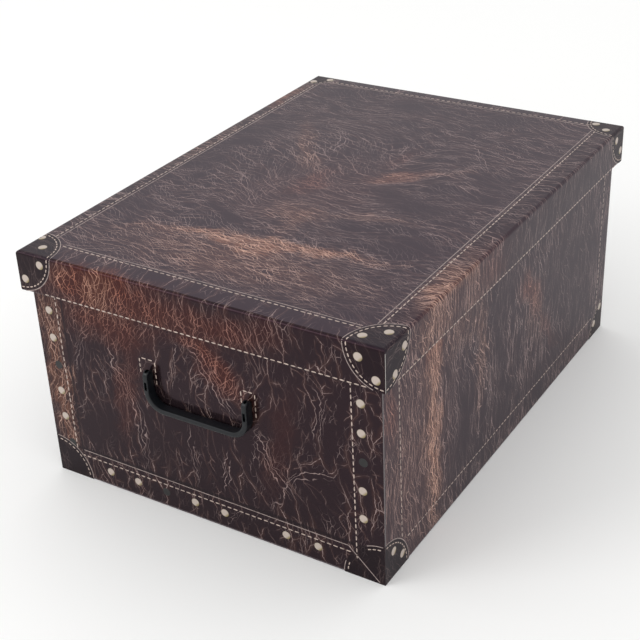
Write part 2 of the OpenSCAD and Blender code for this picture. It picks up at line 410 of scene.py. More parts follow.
def leather(name, look, sheet_of, turn, rust_spots, tan_spots, nets, wander=(3.2, 0.8), twists=(),
            calm=(), long_cracks=(), patches=(), seams=(), outside=None, gloss=0.5, tint=None,
            rough=(0.36, 0.52)):
    """Printed leather under a satin laminate: aged dark hide, fine light cracks, worn tan and rust places.

    The film gives the eye a soft haze of the surroundings over near-black ink. sheet_of places the print,
    turn is the way that the cracks run and wander how far they stray, in mm. twists are places where the
    cracks turn another way, as (u, v, reach, turn), calm spots have few cracks and long_cracks are bundles.
    patches are the black corner pieces as (u, v, reach u, reach v), seams are soft dark lines as (axis,
    place, half width) in mm, and outside is the printed face's direction as (axis, sign): the sheet's other
    faces show its board. gloss, tint and rough are those of the film.
    """
    material, tree, out = new_material(name)
    sheet = sheet_of(tree)
    swirl = crumple(tree, sheet, 90 * MM, 16 * MM, 1)
    for centre in twists:
        swirl = twist(tree, swirl, *centre)
    bent = crumple(tree, swirl, 14 * MM, wander[0] * MM, 2)
    crumpled = crumple(tree, bent, 3.0 * MM, wander[1] * MM, 3, 2.0)
    ragged = crumple(tree, crumple(tree, sheet, 28 * MM, 12 * MM, 4), 7 * MM, 4 * MM, 5)

    rust = stains(tree, ragged, rust_spots)
    tan = stains(tree, ragged, tan_spots)
    warm = maths(tree, "MAXIMUM", rust, tan)

    broken = patchy(tree, crumpled, 22, 6, turn, 0.34, 0.56, 9, 0.2)
    shown, glow = [], []
    for seed, (along, across, lean, half_w, strength, size, low, high) in enumerate(nets):
        away, own_way = crack_net(tree, crumpled, along, across, turn + lean, seed + 1)
        where = patchy(tree, swirl, 2.5 * size, size, turn + lean, low, high, seed + 11)
        where = maths(tree, "MAXIMUM", where, warm)
        line = step(tree, away, half_w, 0.2 * half_w)
        force = step(tree, warm, 0.0, 0.7, strength, 1.0)
        shown.append(merge(tree, [line, where, force, step(tree, own_way, 0.2, 0.75, 0.45)], "MULTIPLY"))
        glow.append(merge(tree, [step(tree, away, 0.3 * across, 0.0), where], "MULTIPLY"))
    lines = merge(tree, [merge(tree, shown, "MAXIMUM"), broken], "MULTIPLY")
    halo = merge(tree, glow[:2], "MAXIMUM")
    if calm:
        busy = maths(tree, "SUBTRACT", 1.0, stains(tree, ragged, calm))
        lines = merge(tree, [lines, busy], "MULTIPLY")
        halo = merge(tree, [halo, busy], "MULTIPLY")
    if long_cracks:
        lines = merge(tree, [lines, bundles(tree, crumpled, long_cracks)], "MAXIMUM")

    base = mix(tree, halo, rgba(look.ground), rgba(look.ground_brown))
    base = mix(tree, rust, base, rgba(look.rust))
    strands = patchy(tree, bent, 34, 1.4, turn, 0.36, 0.64, 21, 0.2)
    base = mix(tree, merge(tree, [tan, tan, strands], "MULTIPLY"), base, rgba(look.tan))
    crack = mix(tree, rust, rgba(look.crack), rgba(look.rust_crack))
    crack = mix(tree, tan, crack, rgba(look.tan_crack))
    colour = mix(tree, lines, base, crack)
    if patches:
        black = [step(tree, oval(tree, sheet, *patch), 1.0, 0.98, 0.0, PATCH_INK) for patch in patches]
        colour = mix(tree, merge(tree, black, "MAXIMUM"), colour, rgba(look.patch))
    if seams:
        dark = []
        for axis, place, half_w in seams:
            off = maths(tree, "ABSOLUTE", maths(tree, "SUBTRACT", axes(tree, sheet)[axis], place * MM))
            dark.append(step(tree, off, half_w * MM, 0.3 * half_w * MM, 0.0, 0.8))
        colour = mix(tree, merge(tree, dark, "MAXIMUM"), colour, rgba(look.patch))
    if outside:
        facing = object_axis(tree, "Normal", *outside)
        colour = mix(tree, step(tree, facing, 0.12, 0.05), colour, rgba(look.cut))

    grain = noise(tree, sheet, 1.2 * MM, 2.0)
    dullness = add_node(tree, "ShaderNodeMapRange", {"Value": grain, "To Min": rough[0], "To Max": rough[1]})
    relief = maths(tree, "MULTIPLY_ADD", lines, 0.25, grain)
    bump = add_node(tree, "ShaderNodeBump", {"Height": relief, "Strength": 0.12, "Distance": 0.05 * MM})
    return shaded(material, tree, out,
                  {"Base Color": colour, "Roughness": dullness, "Normal": bump, "IOR": 1.5,
                   "Specular IOR Level": gloss, "Specular Tint": rgba(tint or look.haze)})


def grey_board(look):
    """Uncoated grey board of pressed waste paper: matte, with flecks a millimetre or two long."""
    material, tree, out = new_material("grey_board")
    place = object_place(tree)
    fleck = noise(tree, place, 1.5 * MM, 4.0)
    cloud = noise(tree, place, 25 * MM, 3.0)
    tone = maths(tree, "MULTIPLY_ADD", fleck, 1.6, cloud)
    share = step(tree, tone, 1.0, 1.6)
    dark = tuple(0.84 * c for c in look.board)
    colour = mix(tree, share, rgba(dark), rgba(look.board))
    bump = add_node(tree, "ShaderNodeBump", {"Height": fleck, "Strength": 0.25, "Distance": 0.1 * MM})
    return shaded(material, tree, out, {"Base Color": colour, "Roughness": 0.85, "Normal": bump})


def printed_ink(name, colour, shade=0.62):
    """Solid printed ink under the same satin film, a little mottled as on a coarse print screen."""
    material, tree, out = new_material(name)
    share = step(tree, noise(tree, object_place(tree), 3.5 * MM, 3.0), 0.35, 0.6)
    dark = tuple(shade * c for c in colour)
    mixed = mix(tree, share, rgba(dark), rgba(colour))
    return shaded(material, tree, out, {"Base Color": mixed, "Roughness": 0.45})


def nail_print(look):
    """Printed nail head: an ivory disc, olive towards its lower right, with a thin dark rim."""
    material, tree, out = new_material("printed_nail")
    local = add_node(tree, "ShaderNodeUVMap", uv_map="Disc")
    right, up, _ = axes(tree, local)
    shade = step(tree, maths(tree, "SUBTRACT", right, up), 0.35, 1.3)
    rim = step(tree, vectors(tree, "LENGTH", local), 0.84, 1.0)
    colour = mix(tree, shade, rgba(look.nail), rgba(look.nail_shade))
    colour = mix(tree, rim, colour, rgba(tuple(0.25 * c for c in look.nail_shade)))
    return shaded(material, tree, out, {"Base Color": colour, "Roughness": 0.4})


def moulded_plastic(settings):
    """Black injection-moulded polypropylene with a fine eroded grain: a soft grey sheen along its edges."""
    material, tree, out = new_material("moulded_polypropylene")
    grain = noise(tree, object_place(tree), 0.4 * MM, 2.0)
    rough = add_node(tree, "ShaderNodeMapRange", {"Value": grain, "To Min": 0.3, "To Max": 0.42})
    bump = add_node(tree, "ShaderNodeBump", {"Height": grain, "Strength": 0.15, "Distance": 0.03 * MM})
    return shaded(material, tree, out,
                  {"Base Color": rgba(settings.plastic), "Roughness": rough, "Normal": bump, "IOR": 1.49,
                   "Specular IOR Level": settings.sheen})


def face_outward(mesh):
    """Turns the faces of a closed mesh outward."""
    tidy = bmesh.new()
    tidy.from_mesh(mesh)
    bmesh.ops.recalc_face_normals(tidy, faces=tidy.faces)
    tidy.to_mesh(mesh)
    tidy.free()


def shade_smooth(mesh, angle):
    """Smooth shading, with sharp edges where faces meet at more than an angle in degrees."""
    mesh.polygons.foreach_set("use_smooth", np.ones(len(mesh.polygons), bool))
    mesh.set_sharp_from_angle(angle=math.radians(angle))


def add_piece(name, points, faces, body, materials, uv=None, uv_name="Sheet", material_index=None,
              smooth=False):
    """A mesh piece from arrays of points and faces, riding on a body. uv holds one place for each point."""
    mesh = bpy.data.meshes.new(name)
    mesh.from_pydata(np.asarray(points).tolist(), [], [list(map(int, f)) for f in faces])
    for material in materials:
        mesh.materials.append(material)
    if material_index is not None:
        mesh.polygons.foreach_set("material_index", np.asarray(material_index, np.int32))
    if uv is not None:
        corner = np.zeros(len(mesh.loops), np.int32)
        mesh.loops.foreach_get("vertex_index", corner)
        layer = mesh.uv_layers.new(name=uv_name)
        layer.data.foreach_set("uv", np.asarray(uv, np.float32)[corner].ravel())
    face_outward(mesh)
    if smooth:
        shade_smooth(mesh, 40)
    mesh.validate()
    piece = bpy.data.objects.new(name, mesh)
    bpy.context.scene.collection.objects.link(piece)
    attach(piece, body)
    return piece


def grid_faces(rows, columns, first=0, closed=False):
    """Corner numbers of the quads of a grid of points. A closed grid joins its last column to its first."""
    wide = columns if closed else columns - 1
    row, column = np.meshgrid(np.arange(rows - 1), np.arange(wide), indexing="ij")
    after = (column + 1) % columns
    quads = [row * columns + column, row * columns + after, (row + 1) * columns + after,
             (row + 1) * columns + column]
    return first + np.stack(quads, axis=-1).reshape(-1, 4)


def sheet_faces(rows, columns):
    """Faces of a thin sheet: a grid of points, the same grid again below it and a wall round the two."""
    total = rows * columns
    number = np.arange(total).reshape(rows, columns)
    rim = np.concatenate([number[0, :], number[1:, -1], number[-1, -2::-1], number[-2:0:-1, 0]])
    after = np.roll(rim, -1)
    wall = np.stack([rim, after, after + total, rim + total], axis=-1)
    return [grid_faces(rows, columns), grid_faces(rows, columns, total)[:, ::-1], wall]


def spread(*values):
    """Numbers and arrays as float arrays of one shape."""
    return np.broadcast_arrays(*(np.asarray(value, float) for value in values))


def roll(distance, half, radius=FOLD_R):
    """Carries a distance along the paper round a fold: returns the place across, the drop and the lean.

    Up to the fold the paper is flat, then it follows a quarter circle, then it hangs straight down.
    The lean is the angle that the paper's face has turned by.
    """
    past = np.abs(distance) - (half - radius)
    lean = np.clip(past / radius, 0, math.pi / 2)
    across = np.where(past < 0, np.abs(distance), half - radius + radius * np.sin(lean))
    drop = radius * (1 - np.cos(lean)) + np.maximum(past - radius * math.pi / 2, 0)
    return np.sign(distance) * across, drop, lean


def on_lid(panel, u, v, lift):
    """Points on the lid for places u, v on its flat sheet, raised off the paper by lift.

    On an end skirt the sheet is folded along X only, on a side skirt along Y only, and on the top the
    fold with the bigger drop wins.
    """
    u, v, lift = spread(u, v, lift)
    x, x_drop, x_lean = roll(u, LID_HALF_W)
    y, y_drop, y_lean = roll(v, LID_HALF_L)
    if panel == "end":
        x, x_drop, x_lean = u, np.zeros_like(u), np.zeros_like(u)
    if panel == "side":
        y, y_drop, y_lean = v, np.zeros_like(v), np.zeros_like(v)
    sideways = x_drop > y_drop
    lean = np.where(sideways, x_lean, y_lean)
    x = x + np.where(sideways, np.sign(u) * lift * np.sin(lean), 0)
    y = y + np.where(sideways, 0, np.sign(v) * lift * np.sin(lean))
    z = LID_TOP - np.maximum(x_drop, y_drop) + lift * np.cos(lean)
    return np.stack([x, y, z], axis=-1)


def on_end(side):
    """Places on the tray's front end (side -1) or back end (side 1), which repeats it turned half round."""
    def place(u, v, lift):
        u, v, lift = spread(u, v, lift)
        return np.stack([-side * u, side * (TRAY_HALF_L + lift), v], axis=-1)
    return place


def on_side(side):
    """Places on the tray's right side (side 1) or left side (side -1), which repeats it turned half round."""
    def place(u, v, lift):
        u, v, lift = spread(u, v, lift)
        return np.stack([side * (TRAY_HALF_W + lift), side * u, v], axis=-1)
    return place


def lid_panel(panel):
    """The placing function of one of the lid's panels."""
    return lambda u, v, lift: on_lid(panel, u, v, lift)


def skirt_v(height):
    """Distance along the sheet, from the middle of the lid to a height on an end skirt."""
    return LID_HALF_L - FOLD_SAVING + (LID_TOP - height)


def skirt_u(height):
    """Distance along the sheet, from the middle of the lid to a height on a side skirt."""
    return LID_HALF_W - FOLD_SAVING + (LID_TOP - height)


class Decals:
    """Collects flat closed shapes, each laid on a face by a placing function, and makes one mesh of them."""

    def __init__(self):
        self.points = []
        self.faces = []
        self.local = []
        self.count = 0

    def add(self, points, faces, local):
        """Adds a batch of shapes: points is (shapes, corners, 3) and faces are those of one shape."""
        shapes, corners = points.shape[:2]
        start = self.count + np.arange(shapes)[:, None, None] * corners
        self.points.append(points.reshape(-1, 3))
        for face_set in faces:
            self.faces.extend((start + face_set[None]).reshape(-1, face_set.shape[1]).tolist())
        self.local.append(np.broadcast_to(local, (shapes, corners, 2)).reshape(-1, 2))
        self.count += shapes * corners

    def piece(self, name, body, slot, material, uv_name="Disc"):
        """The mesh of all that was added."""
        return add_piece(name, np.concatenate(self.points), self.faces, body, [material],
                         uv=np.concatenate(self.local), uv_name=uv_name)


def walk(path):
    """Distance along a line of points, from its start to each point."""
    return np.concatenate([[0], np.cumsum(np.linalg.norm(np.diff(path, axis=0), axis=1))])


def lay_ribbon(decals, place, path, width, film):
    """A thin line of even width along a path on a face, as one closed strip."""
    path = np.asarray(path, float)
    way = np.gradient(path, axis=0)
    way /= np.linalg.norm(way, axis=1, keepdims=True)
    square = np.stack([-way[:, 1], way[:, 0]], axis=1) * width / 2
    rows = [place(*(path + square).T, film), place(*(path - square).T, film),
            place(*(path - square).T, -film), place(*(path + square).T, -film)]
    points = np.stack(rows, axis=1).reshape(1, -1, 3)
    count = len(path)
    tube = grid_faces(count, 4, closed=True)
    ends = np.array([[3, 2, 1, 0], [4 * count - 4, 4 * count - 3, 4 * count - 2, 4 * count - 1]])
    decals.add(points, [tube, ends], np.zeros(2))


def lay_stitches(decals, place, path, look, wanted=0.0):
    """A row of stitches along a path: short strips with narrowed ends, one pitch apart."""
    path = np.asarray(path, float)
    run = walk(path)
    count = max(int(round(run[-1] / (wanted or look.pitch))), 1)
    pitch = run[-1] / count
    middle = (np.arange(count) + 0.5) * pitch
    share = np.array([-1, -0.5, 0, 0.5, 1])
    half = look.stitch / look.pitch * pitch / 2
    along = middle[:, None] + share * half
    along = np.clip(along, 0, run[-1])
    centre = np.stack([np.interp(along, run, path[:, i]) for i in (0, 1)], axis=-1)
    ahead = np.stack([np.interp(along + 0.2 * MM, run, path[:, i]) for i in (0, 1)], axis=-1)
    behind = np.stack([np.interp(along - 0.2 * MM, run, path[:, i]) for i in (0, 1)], axis=-1)
    way = ahead - behind
    way /= np.maximum(np.linalg.norm(way, axis=-1, keepdims=True), 1e-9)
    width = look.stitch_w / 2 * np.array([0.6, 1, 1, 1, 0.6])[:, None]
    square = np.stack([-way[..., 1], way[..., 0]], axis=-1) * width
    upper, lower = centre + square, centre - square
    rows = [place(upper[..., 0], upper[..., 1], look.film), place(lower[..., 0], lower[..., 1], look.film),
            place(lower[..., 0], lower[..., 1], -look.film), place(upper[..., 0], upper[..., 1], -look.film)]
    points = np.stack(rows, axis=2).reshape(count, -1, 3)
    tube = grid_faces(5, 4, closed=True)
    ends = np.array([[3, 2, 1, 0], [16, 17, 18, 19]])
    decals.add(points, [tube, ends], np.zeros(2))


def lay_discs(decals, place, centres, radius, film, sides=18):
    """Round spots at the given places: three rings of points over a flat underside."""
    centres = np.asarray(centres, float)
    turn = np.arange(sides) / sides * 2 * math.pi
    circle = np.stack([np.cos(turn), np.sin(turn)], axis=-1)
    rings = [(1.0, -film), (1.0, 0.5 * film), (0.9, film), (0.5, 1.3 * film)]
    levels, local = [], []
    for share, lift in rings:
        spots = centres[:, None, :] + circle * radius * share
        levels.append(place(spots[..., 0], spots[..., 1], lift))
        local.append(circle * share)
    for share, lift in ((0, -film), (0, 1.3 * film)):
        levels.append(place(centres[:, None, 0], centres[:, None, 1], lift))
        local.append(np.zeros((1, 2)))
    points = np.concatenate(levels, axis=1)
    tube = grid_faces(len(rings), sides, closed=True)
    now = np.arange(sides)
    after = (now + 1) % sides
    last = (len(rings) - 1) * sides
    foot = np.stack([after, now, np.full(sides, len(rings) * sides)], axis=-1)
    crown = np.stack([last + now, last + after, np.full(sides, len(rings) * sides + 1)], axis=-1)
    decals.add(points, [tube, foot, crown], np.concatenate(local))


# Heights of the rows of a patch as shares of its reach. They are closer together at its start, where the
# sheet may go round a fold, and at its end, where the outline turns quickly.
PATCH_ROWS = (0, 0.012, 0.025, 0.04, 0.055, 0.07, 0.1, 0.16, 0.25, 0.36, 0.5, 0.64, 0.77, 0.88, 0.95, 0.985,
              0.9995)


def lay_patch(decals, place, centre, reach, toward, film, limit=(1.0, 1.0)):
    """Quarter ellipse filled as a thin sheet: rows across its height, each as long as the outline allows.

    The row at the height h, as a share of the reach, is as long as the root of 1 - h squared. limit is the
    furthest place along each axis of the face.
    """
    share = np.array(PATCH_ROWS)
    row, column = np.meshgrid(share, share, indexing="ij")
    u = centre[0] + toward[0] * reach[0] * column * np.sqrt(1 - row ** 2)
    v = centre[1] + toward[1] * reach[1] * row
    u, v = np.clip(u, -limit[0], limit[0]).ravel(), np.clip(v, -limit[1], limit[1]).ravel()
    points = np.concatenate([place(u, v, film), place(u, v, -film)])
    flat = np.stack([u, v], axis=-1)
    decals.add(points[None], sheet_faces(len(share), len(share)), np.concatenate([flat, flat]))


def straight(start, end, step_length=2 * MM):
    """Points along a straight line, in metres, from ends in mm."""
    start, end = np.asarray(start, float) * MM, np.asarray(end, float) * MM
    count = max(int(np.linalg.norm(end - start) / step_length), 1) + 1
    return start + (end - start) * np.linspace(0, 1, count)[:, None]


def quarter(centre, reach, toward, count=40):
    """Quarter ellipse round a centre, from its reach along the first axis to its reach along the second.

    toward gives the sign of each axis on which the quarter lies.
    """
    angle = np.linspace(0, math.pi / 2, count)
    return np.stack([centre[0] + toward[0] * reach[0] * np.cos(angle),
                     centre[1] + toward[1] * reach[1] * np.sin(angle)], axis=-1)


def lid_patch_centre(corner):
    """Middle of the corner's folds on the flat sheet, which the patch's outline is drawn round."""
    half_arc = FOLD_ARC / 2
    return corner[0] * (LID_HALF_W - FOLD_R + half_arc), corner[1] * (LID_HALF_L - FOLD_R + half_arc)


def patch_reach(panel, corner):
    """Reaches of a lid's corner patch along the two axes of a panel's sheet, in mm."""
    reach_u, reach_v, reach_down = LID_PATCHES[corner]
    return reach_down if panel == "side" else reach_u, reach_down if panel == "end" else reach_v


def lid_patches(panel):
    """Black corner pieces as the ovals that they fill on one of the lid's panels, in mm."""
    return [(*(c / MM for c in lid_patch_centre(corner)), *patch_reach(panel, corner))
            for corner in LID_PATCHES]


def lid_patch_lines(corner, inset):
    """Outline of a lid's corner patch: three quarter ellipses, on the end skirt, the top and the side skirt.

    Each runs square to the folds at its ends, so that the three join into one line round the corner.
    """
    reach_u, reach_v, reach_down = (r * MM - inset for r in LID_PATCHES[corner])
    centre = lid_patch_centre(corner)
    inward = (-corner[0], -corner[1])
    end = quarter(centre, (reach_u, reach_down), (inward[0], corner[1]))
    top = quarter(centre, (reach_u, reach_v), inward)
    side = quarter(centre, (reach_down, reach_v), (corner[0], inward[1]))
    limit_v, limit_u = skirt_v(SKIRT_LOW) - 0.5 * MM, skirt_u(SKIRT_LOW) - 0.5 * MM
    end = end[np.abs(end[:, 1]) < limit_v]
    side = side[np.abs(side[:, 0]) < limit_u]
    return {"end": end, "top": top, "side": side}


# Places of the top board's materials in its list
TOP, ENDS, SIDES, BARE, BORDER = range(5)


class STORAGEBOX_OT_fold_lid(bpy.types.Operator):
    """Folds the lid's printed sheet: the top with its soft folds and the four skirts."""

    bl_idname = "storagebox.fold_lid"
    bl_label = "Fold the lid"

    def execute(self, context):
        look = context.scene.storagebox_print
        board = grey_board(look)
        top = leather("laminated_leather_print_lid_top", look, sheet_map, -10, TOP_RUST, TOP_TAN, TOP_NETS,
                      wander=(2.2, 0.8), twists=TOP_TWISTS, calm=TOP_CALM, long_cracks=TOP_LONG,
                      patches=lid_patches("top"), gloss=0.455)
        border = leather("laminated_leather_print_lid_border", look, sheet_map, 90, LID_END_RUST, LID_END_TAN,
                         END_NETS, patches=lid_patches("end"), gloss=0.455)
        ends = leather("laminated_leather_print_lid_ends", look, sheet_map, 90, LID_END_RUST, LID_END_TAN,
                       END_NETS, patches=lid_patches("end"), gloss=0.215, tint=look.end_haze,
                       rough=(0.16, 0.26))
        sides = leather("laminated_leather_print_lid_sides", look, sheet_map, 0, LID_SIDE_RUST, LID_SIDE_TAN,
                        SIDE_NETS, wander=(2.2, 0.8), calm=LID_SIDE_CALM, long_cracks=LID_SIDE_LONG,
                        patches=lid_patches("side"), gloss=0.365)
        self.top_board([top, ends, sides, board, border])
        for side, name in ((-1, "front"), (1, "back")):
            self.skirt(f"lid_{name}_skirt_board", f"lid_{name}_skirt", 1, side, [ends, board])
        for side, name in ((-1, "left"), (1, "right")):
            self.skirt(f"lid_{name}_skirt_board", f"lid_{name}_skirt", 0, side, [sides, board])
        return {"FINISHED"}

    def top_board(self, materials):
        """Top sheet: places along X and Y go round the folds, and the bigger drop sets the height.

        Its border outside the stitched frame carries the print of the skirt that it runs on into.
        """
        left, right, front, back = (side * MM for side in (FRAME_LEFT, FRAME_RIGHT, FRAME_FRONT, FRAME_BACK))

        def stations(half, frame_low, frame_high):
            """Places along one axis, close together in the folds and evenly spread inside the frame."""
            bend = half - FOLD_R + FOLD_ARC * np.linspace(0, 1, 9)
            flat = np.linspace(frame_low, frame_high, 25)
            edge = half - FOLD_R
            return np.concatenate([-bend[:0:-1], [-edge], flat, [edge], bend[1:]])
        u, v = np.meshgrid(stations(LID_HALF_W, left, right), stations(LID_HALF_L, front, back),
                           indexing="ij")
        outer = on_lid("top", u, v, 0).reshape(-1, 3)
        inner = on_lid("top", u, v, -BOARD).reshape(-1, 3)
        inner[:, 0] = np.clip(inner[:, 0], -LID_HALF_W + BOARD, LID_HALF_W - BOARD)
        inner[:, 1] = np.clip(inner[:, 1], -LID_HALF_L + BOARD, LID_HALF_L - BOARD)
        faces = np.concatenate(sheet_faces(*u.shape))
        middle_u = (u[1:, 1:] + u[:-1, :-1]) / 2
        middle_v = (v[1:, 1:] + v[:-1, :-1]) / 2
        printed = np.full(middle_u.shape, TOP)
        printed[(middle_u < left) | (middle_u > right)] = SIDES
        printed[(middle_v < front) | (middle_v > back)] = ENDS
        printed[(printed == ENDS) & (np.abs(middle_v) < LID_HALF_L - FOLD_R)] = BORDER
        on_side_roll = np.abs(middle_u) - LID_HALF_W > np.abs(middle_v) - LID_HALF_L
        printed[(printed == ENDS) & on_side_roll & (np.abs(middle_u) > LID_HALF_W - FOLD_R)] = SIDES
        index = np.concatenate([printed.ravel(), np.full(len(faces) - printed.size, BARE)])
        uv = np.stack([u, v], axis=-1).reshape(-1, 2)
        piece = add_piece("lid_top_board", np.concatenate([outer, inner]), faces, "lid",
                          materials, uv=np.concatenate([uv, uv]), material_index=index, smooth=True)
        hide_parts("lid_top_panel")

    def skirt(self, name, node, axis, side, materials):
        """Skirt: a flat sheet with a rounded hem, drawn as a profile and carried along its length."""
        half = LID_HALF_L if axis == 1 else LID_HALF_W
        length = LID_HALF_W if axis == 1 else LID_HALF_L - BOARD
        lean = np.linspace(0, math.pi / 2, 7)
        hem_out = half - HEM_R + HEM_R * np.cos(lean)
        hem_z = SKIRT_LOW + HEM_R - HEM_R * np.sin(lean)
        across = np.concatenate([[half], hem_out, [half - BOARD, half - BOARD]])
        height = np.concatenate([[LID_TOP - FOLD_R], hem_z, [SKIRT_LOW, LID_TOP - FOLD_R]])
        down = skirt_v if axis == 1 else skirt_u
        paper = np.concatenate([[down(LID_TOP - FOLD_R)], down(SKIRT_LOW + HEM_R) + HEM_R * lean,
                                [down(SKIRT_LOW) + BOARD, down(SKIRT_LOW) + 2 * BOARD]])
        count = len(across)
        lengths = np.array([-length, length])
        place = np.zeros((2, count, 3))
        place[:, :, axis] = side * across
        place[:, :, 1 - axis] = lengths[:, None]
        place[:, :, 2] = height
        uv = np.zeros((2, count, 2))
        uv[:, :, axis] = side * paper
        uv[:, :, 1 - axis] = lengths[:, None]
        walls = grid_faces(2, count, closed=True)
        caps = [np.arange(count)[::-1].tolist(), (count + np.arange(count)).tolist()]
        faces = [list(f) for f in walls] + caps
        printed = [0] * (count - 2) + [1, 1]
        piece = add_piece(name, place.reshape(-1, 3), faces, "lid", materials,
                          uv=uv.reshape(-1, 2), material_index=printed + [1, 1], smooth=True)
        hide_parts(node)


# Stains of the lid's sheet as (u, v, half length, half width, turn, strength), in mm from the middle of the
# sheet: for the top, for the ends, which hang down past 250 mm, and for the sides, which do past 180 mm
TOP_RUST = [
    (42, 36, 40, 18, 42, 0.6), (-30, -10, 44, 18, 85, 0.4), (20, 75, 34, 14, 85, 0.3),
    (-20, -20, 110, 80, 60, 0.2),
]
TOP_TAN = [
    (-45, -150, 64, 13, -4, 0.7), (60, -136, 88, 13, 5, 0.9), (8, -149, 36, 20, 35, 0.6),
    (-100, -162, 50, 14, 12, 0.3), (0, -184, 185, 54, 0, 0.55), (-2, -78, 44, 26, 0, 0.5),
    (3, -112, 18, 46, 0, 0.35), (62, -58, 60, 13, 14, 0.4), (-92, 84, 76, 15, -57, 0.5),
    (-60, 30, 56, 18, -50, 0.3), (42, 36, 44, 16, 42, 0.55), (90, 70, 44, 10, 32, 0.3),
]
TOP_TWISTS = [(-60, 30, 150, 40), (60, 90, 90, -20)]
TOP_CALM = [
    (90, -18, 60, 22, 5, 0.8), (125, -92, 50, 26, 0, 0.8), (-150, -20, 34, 46, 0, 0.7),
    (-150, 70, 26, 60, 0, 0.6), (50, 0, 24, 22, 0, 0.8), (-120, 215, 60, 30, 0, 0.6),
    (40, 215, 130, 34, 0, 0.5), (130, 60, 30, 50, 0, 0.6), (-150, -130, 40, 20, 0, 0.7),
    (130, -215, 34, 24, 0, 0.6), (-20, 130, 40, 26, 0, 0.5), (-45, 205, 40, 34, 0, 0.5),
]
TOP_LONG = [
    (93, 109, 44, 5, -55, 0.7), (57, 45, 78, 7, 35, 0.8), (25, -52, 84, 9, 3, 0.6),
    (-88, 90, 48, 9, -62, 0.7), (-50, -57, 46, 12, -43, 0.6), (-123, -108, 46, 7, -16, 0.6),
    (-35, -30, 70, 14, 80, 0.4), (0, -140, 120, 16, 3, 0.6), (-20, 20, 60, 12, -40, 0.4),
]
LID_END_RUST = [(-103, -262, 60, 20, 3, 0.9), (-70, -280, 130, 36, 0, 0.85), (50, -276, 60, 24, 10, 0.5)]
LID_END_TAN = [(-96, -278, 54, 24, 80, 0.55), (-145, -262, 30, 16, 0, 0.35)]
LID_SIDE_RUST = [(-178, 170, 12, 44, 0, 0.7), (205, -60, 24, 36, 0, 0.3), (200, -140, 60, 150, 0, 0.25)]
LID_SIDE_TAN = [
    (178, -135, 18, 76, 0, 0.7), (205, -168, 34, 50, 0, 0.55), (205, -100, 34, 24, 0, 0.3),
    (-178, 190, 12, 50, 0, 0.5), (-178, 40, 12, 130, 0, 0.3),
]
LID_SIDE_CALM = [(205, 120, 40, 160, 0, 0.6), (205, -20, 40, 40, 0, 0.5)]
LID_SIDE_LONG = [(200, -165, 44, 30, 0, 0.9), (200, -104, 44, 22, 4, 0.7), (200, -215, 44, 24, 0, 0.6)]

# Stains of the tray's walls, in mm along the wall from its middle and up from its foot
END_RUST = [
    (20, 166, 58, 20, -43, 0.8), (-100, 185, 70, 34, 0, 0.8), (-82, 120, 70, 16, 80, 0.5),
    (78, 110, 76, 18, 75, 0.3), (-10, 190, 60, 14, 0, 0.3),
]
END_TAN = [(-163, 110, 20, 160, 0, 0.8), (-100, 195, 60, 14, 0, 0.3)]
END_TWISTS = [(22, 160, 90, 28), (80, 70, 70, -22)]
END_CALM = [
    (-114, 68, 30, 46, 0, 0.95), (-62, 158, 26, 34, 0, 0.8), (-48, 62, 26, 34, 0, 0.8),
    (-12, 92, 44, 18, 0, 0.7), (86, 128, 28, 38, 0, 0.85), (116, 70, 24, 28, 0, 0.7),
    (20, 45, 20, 20, 0, 0.5),
]
END_LONG = [
    (-78, 110, 84, 8, -77, 0.8), (-128, 152, 40, 10, 62, 0.45), (-26, 145, 32, 3, -88, 0.8),
    (12, 155, 50, 13, -43, 0.9), (78, 90, 48, 8, -65, 0.8), (102, 74, 56, 5, 38, 0.8),
    (25, 65, 30, 6, 70, 0.9), (121, 150, 40, 8, -88, 0.6), (-14, 66, 35, 5, 86, 0.5),
]
# Soft dark lines where one strap lies over another: beside the left strap and above the foot band
END_SEAMS = [(0, -146.8, 1.6), (1, 33.2, 2.6)]
SIDE_RUST = [
    (42, 142, 42, 20, -40, 0.75), (85, 85, 60, 12, -50, 0.4), (-160, 188, 18, 26, 0, 0.8),
    (-238, 165, 16, 40, 0, 0.5), (-190, 100, 90, 200, 0, 0.22),
]
SIDE_TAN = [
    (-157, 100, 15, 200, 0, 0.8), (-172, 100, 16, 200, 0, 0.35), (-215, 100, 56, 150, 0, 0.2),
    (-66, 130, 20, 80, 0, 0.45), (-110, 180, 60, 34, 0, 0.4), (55, 110, 30, 60, 20, 0.3),
]
SIDE_CALM = [
    (-100, 70, 28, 70, 0, 0.95), (-28, 130, 22, 60, 0, 0.7), (-20, 50, 26, 40, 0, 0.6),
    (160, 120, 110, 130, 0, 0.6), (60, 30, 150, 22, 0, 0.6), (-15, 175, 26, 24, 0, 0.6),
]
SIDE_LONG = [
    (-62, 110, 78, 9, -72, 0.8), (58, 108, 84, 8, -49, 0.5), (30, 68, 40, 7, 84, 0.5),
    (-8, 120, 48, 6, 88, 0.4), (142, 110, 80, 8, -85, 0.25), (-158, 105, 140, 16, 90, 0.9),
    (-208, 105, 140, 36, 89, 0.5), (-118, 130, 90, 16, 86, 0.5),
]
INNER_RUST = [(60, 120, 60, 20, 20, 0.3)]
INNER_TAN = [(-80, 120, 20, 120, 0, 0.2)]


